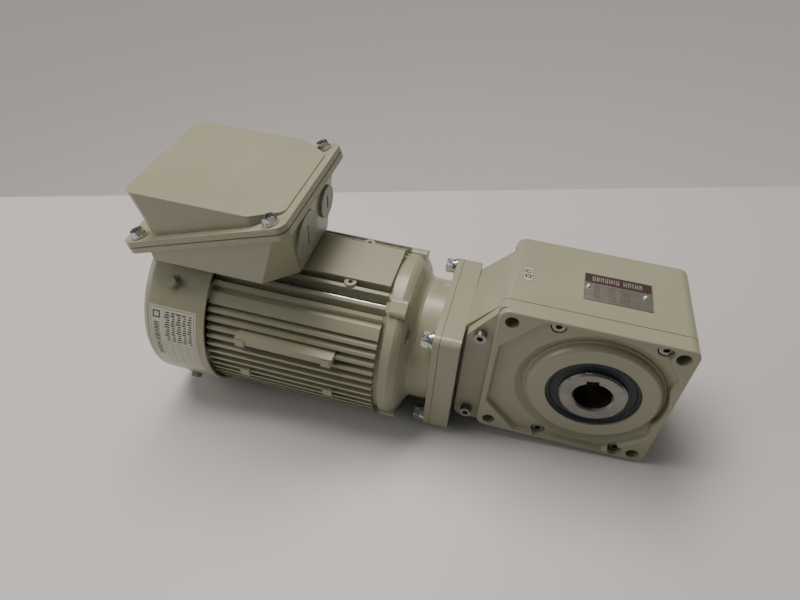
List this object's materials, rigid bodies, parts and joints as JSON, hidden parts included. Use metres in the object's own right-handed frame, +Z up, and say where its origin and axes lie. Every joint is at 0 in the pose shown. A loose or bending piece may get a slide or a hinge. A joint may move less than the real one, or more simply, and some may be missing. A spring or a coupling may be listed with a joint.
{
  "type": "gearmotor",
  "caption": "Right-angle gearmotor: finned induction motor with a sloped terminal box driving a keyed hollow output shaft through a hypoid and spur reducer.",
  "frame": {"origin": "on the axis of the hollow output bore at mid length", "axes": "+X away from the motor along its axis, +Y along the output bore toward the rear face, +Z up through the terminal box"},
  "size_m": [0.375, 0.136, 0.1916],
  "materials": {
    "enamel": "gloss enamel",
    "zinc": "bright zinc plate",
    "pin_steel": "ground",
    "seal_rubber": "satin",
    "shaft_steel": "turned",
    "gear_steel": "ground",
    "bearing_steel": "polished",
    "lamination": "stacked sheet",
    "cast_aluminium": "as cast",
    "plate_aluminium": "brushed, printed",
    "copper": "varnished wire",
    "fan_plastic": "moulded",
    "gasket_rubber": "matte",
    "plug_plastic": "moulded",
    "block_plastic": "moulded",
    "brass": "machined"
  },
  "bodies": {
    "housing": {"gear_case": "enamel", "front_cover": "enamel", "case_gasket": "gasket_rubber", "cover_screws": "zinc", "dowel_pins": "pin_steel", "oil_seal_front": "seal_rubber", "oil_seal_rear": "seal_rubber", "output_bearing_outer": "bearing_steel", "output_bearing_balls": "bearing_steel", "mid_bearing_outer": "bearing_steel", "mid_bearing_balls": "bearing_steel", "motor_bearing_outer": "bearing_steel", "motor_bearing_balls": "bearing_steel", "wave_washer": "pin_steel", "stator_core": "lamination", "stator_winding": "copper", "stator_frame": "enamel", "drive_bracket": "enamel", "motor_oil_seal": "seal_rubber", "flange_bolts": "zinc", "flange_washers": "zinc", "rear_bracket": "enamel", "through_bolts": "zinc", "fan_cowl": "enamel", "cowl_bolts": "zinc", "terminal_box_base": "enamel", "terminal_box_lid": "enamel", "lid_gasket": "gasket_rubber", "seat_gasket": "gasket_rubber", "lid_screws": "zinc", "box_screws": "zinc", "block_screws": "zinc", "entry_plug_large": "plug_plastic", "entry_plug_small": "plug_plastic", "terminal_block": "block_plastic", "terminal_studs": "brass", "terminal_nuts": "brass", "nameplate": "plate_aluminium", "nameplate_rivets": "cast_aluminium"},
    "output": {"hollow_shaft": "shaft_steel", "output_gear": "gear_steel", "output_gear_key": "pin_steel", "output_bearing_inner": "bearing_steel"},
    "intermediate": {"intermediate_shaft": "gear_steel", "hypoid_gear": "gear_steel", "mid_bearing_inner": "bearing_steel"},
    "rotor": {"rotor_shaft": "shaft_steel", "rotor_core": "lamination", "rotor_end_rings": "cast_aluminium", "motor_bearing_inner": "bearing_steel", "fan": "fan_plastic", "fan_clip": "pin_steel"}
  },
  "joints": [
    {"name": "rotor_spin", "type": "hinge", "parent": "housing", "child": "rotor", "pos_m": [-0.2, 0, -0.023], "axis": [1, 0, 0], "continuous": true},
    {"name": "intermediate_spin", "type": "hinge", "parent": "housing", "child": "intermediate", "pos_m": [-0.04826, 0, -0.011], "axis": [0, 1, 0], "continuous": true},
    {"name": "output_spin", "type": "hinge", "parent": "housing", "child": "output", "pos_m": [0, 0, 0], "axis": [0, 1, 0], "continuous": true}
  ],
  "couplings": [
    {"joint": "intermediate_spin", "follows": "rotor_spin", "ratio": 0.2},
    {"joint": "output_spin", "follows": "rotor_spin", "ratio": -0.053846}
  ]
}
